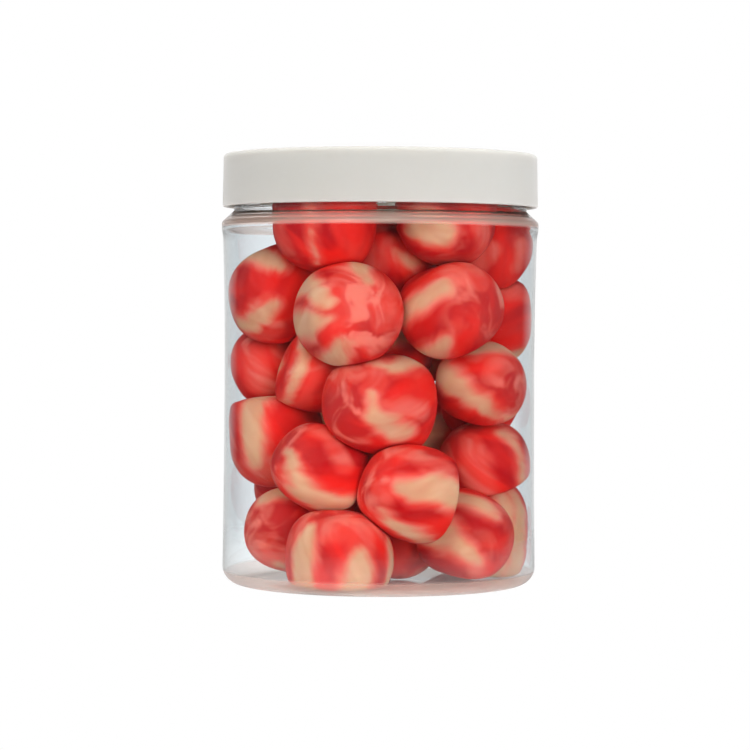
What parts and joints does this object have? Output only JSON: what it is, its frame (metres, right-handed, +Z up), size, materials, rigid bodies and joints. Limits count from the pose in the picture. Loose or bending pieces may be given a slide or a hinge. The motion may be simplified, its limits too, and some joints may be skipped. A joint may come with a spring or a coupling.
{
  "type": "jar of gummies",
  "caption": "Clear straight-walled screw jar with a smooth white lid, shut and filled with red and cream swirl gummies.",
  "frame": {"origin": "where the jar's axis meets the surface it stands on", "axes": "+Z up along the jar's axis, -Y towards the front"},
  "size_m": [0.0854, 0.0854, 0.1156],
  "materials": {
    "clear_plastic": "clear blow-moulded plastic, thin wall, glossy",
    "white_plastic": "white injection-moulded plastic, smooth and satin",
    "gummy": "soft starch-moulded gummy, satin, red with cream swirls"
  },
  "bodies": {
    "root": {"jar": "clear_plastic", "lid": "white_plastic", "gummies": "gummy"}
  },
  "joints": []
}
